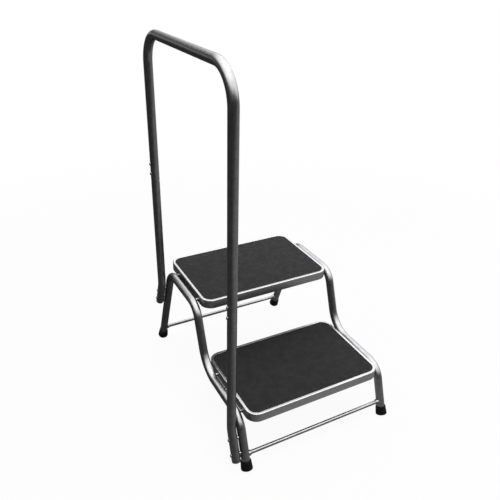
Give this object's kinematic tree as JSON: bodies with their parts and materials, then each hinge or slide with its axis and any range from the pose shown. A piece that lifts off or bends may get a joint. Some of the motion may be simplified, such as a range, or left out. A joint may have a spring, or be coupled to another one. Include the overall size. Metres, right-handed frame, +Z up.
{
  "type": "caravan entry step",
  "caption": "Steel entry step with padded pressed treads between bent tube side frames, and a bolted handrail hoop on the left.",
  "frame": {"origin": "middle of the bounding box on the floor", "axes": "+Z up, +Y the way the user climbs, +X to the climber's right, away from the handrail"},
  "size_m": [0.4684, 0.6238, 0.9592],
  "materials": {
    "tube": "satin silver powder coat",
    "tread": "fine textured silver-grey powder coat",
    "mat": "matt charcoal with a fine grain",
    "rod": "satin silver powder coat",
    "foot": "matt black",
    "fastener": "zinc plated"
  },
  "bodies": {
    "root": {"left_side_frame": "tube", "right_side_frame": "tube", "upper_tread": "tread", "lower_tread": "tread", "upper_mat": "mat", "lower_mat": "mat", "front_stretcher": "rod", "rear_stretcher": "rod", "stretcher_saddles": "rod", "stretcher_screws": "fastener", "front_left_foot": "foot", "front_right_foot": "foot", "rear_left_foot": "foot", "rear_right_foot": "foot", "rail_hoop": "tube", "front_rail_post": "tube", "rear_rail_post": "tube", "hoop_joint_screws": "fastener", "hoop_joint_nuts": "fastener", "post_bolts": "fastener", "post_spacers": "fastener", "post_inserts": "fastener", "upper_tread_bushes": "fastener", "upper_tread_screws": "fastener", "lower_tread_bushes": "fastener", "lower_tread_screws": "fastener"}
  },
  "joints": []
}
